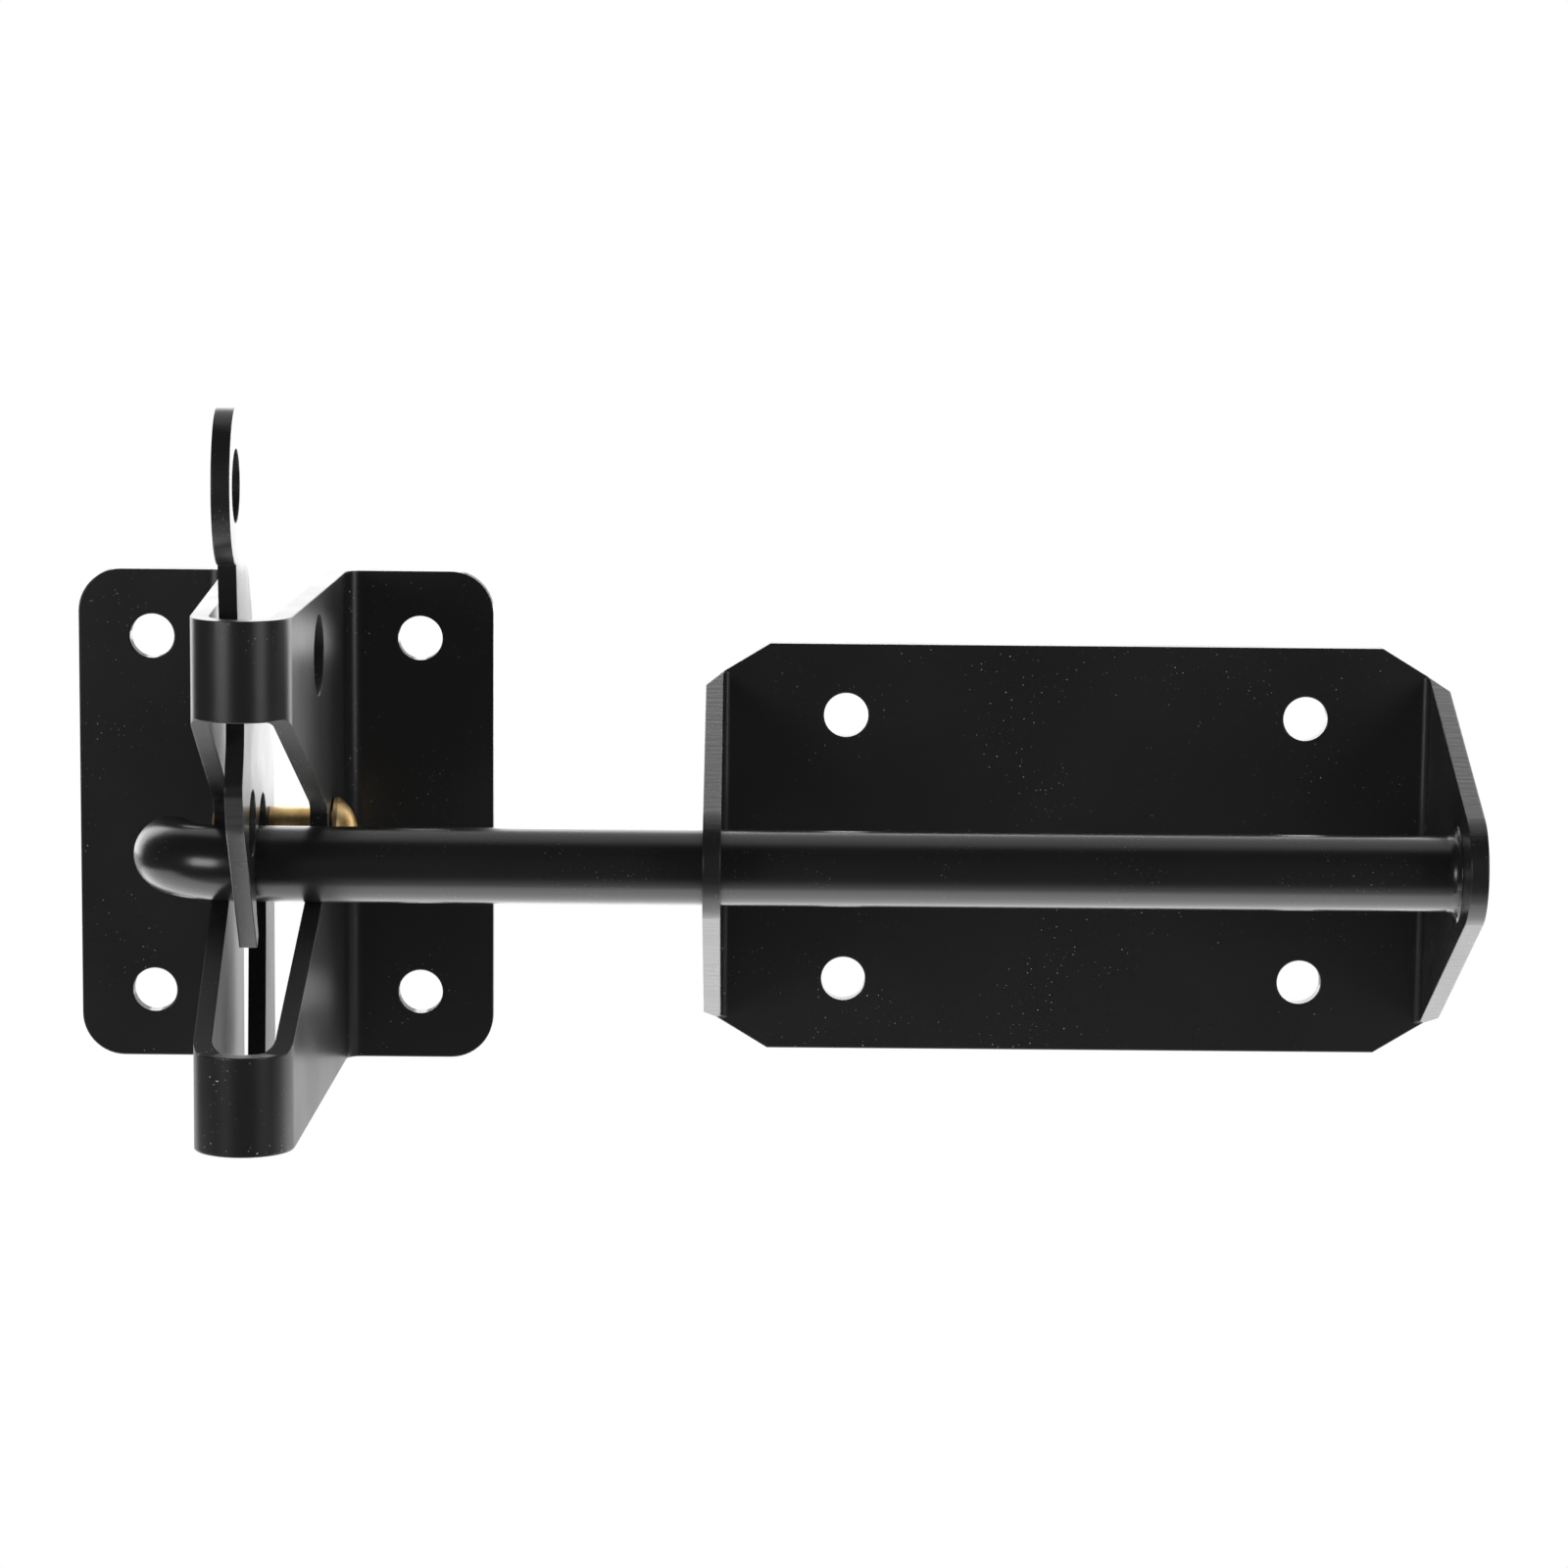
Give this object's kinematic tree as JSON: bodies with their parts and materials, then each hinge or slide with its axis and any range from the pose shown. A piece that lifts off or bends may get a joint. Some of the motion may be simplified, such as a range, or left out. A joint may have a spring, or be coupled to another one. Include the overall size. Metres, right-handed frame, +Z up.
{
  "type": "self-latching gate latch",
  "caption": "Post-mounted gravity gate latch in black coated sheet steel: a drop lever on a brass rivet hooks over a round striker bar carried by a folded bracket on the gate.",
  "frame": {"origin": "centre of the latch body's mounting face, at the middle of its four screw holes", "axes": "+X along the striker bar towards its bracket, +Y into the post, +Z up"},
  "size_m": [0.2248, 0.08, 0.112],
  "materials": {
    "black_coat_body": "satin black powder coat",
    "black_coat_lever": "satin black powder coat",
    "brass_rivet": "dull turned brass",
    "washer_steel": "satin black powder coat",
    "black_coat_bracket": "satin black powder coat",
    "black_coat_bar": "satin black powder coat"
  },
  "bodies": {
    "frame": {"latch_body": "black_coat_body", "pivot_pin": "brass_rivet", "pivot_washer": "washer_steel", "striker_bracket": "black_coat_bracket", "striker_bar": "black_coat_bar"},
    "lever": {"lever": "black_coat_lever"}
  },
  "joints": [
    {"name": "lever_pivot", "type": "hinge", "parent": "frame", "child": "lever", "pos_m": [-0.0024, -0.02175, 0.0005], "axis": [-1, 0, 0], "range_deg": [0, 28]}
  ]
}
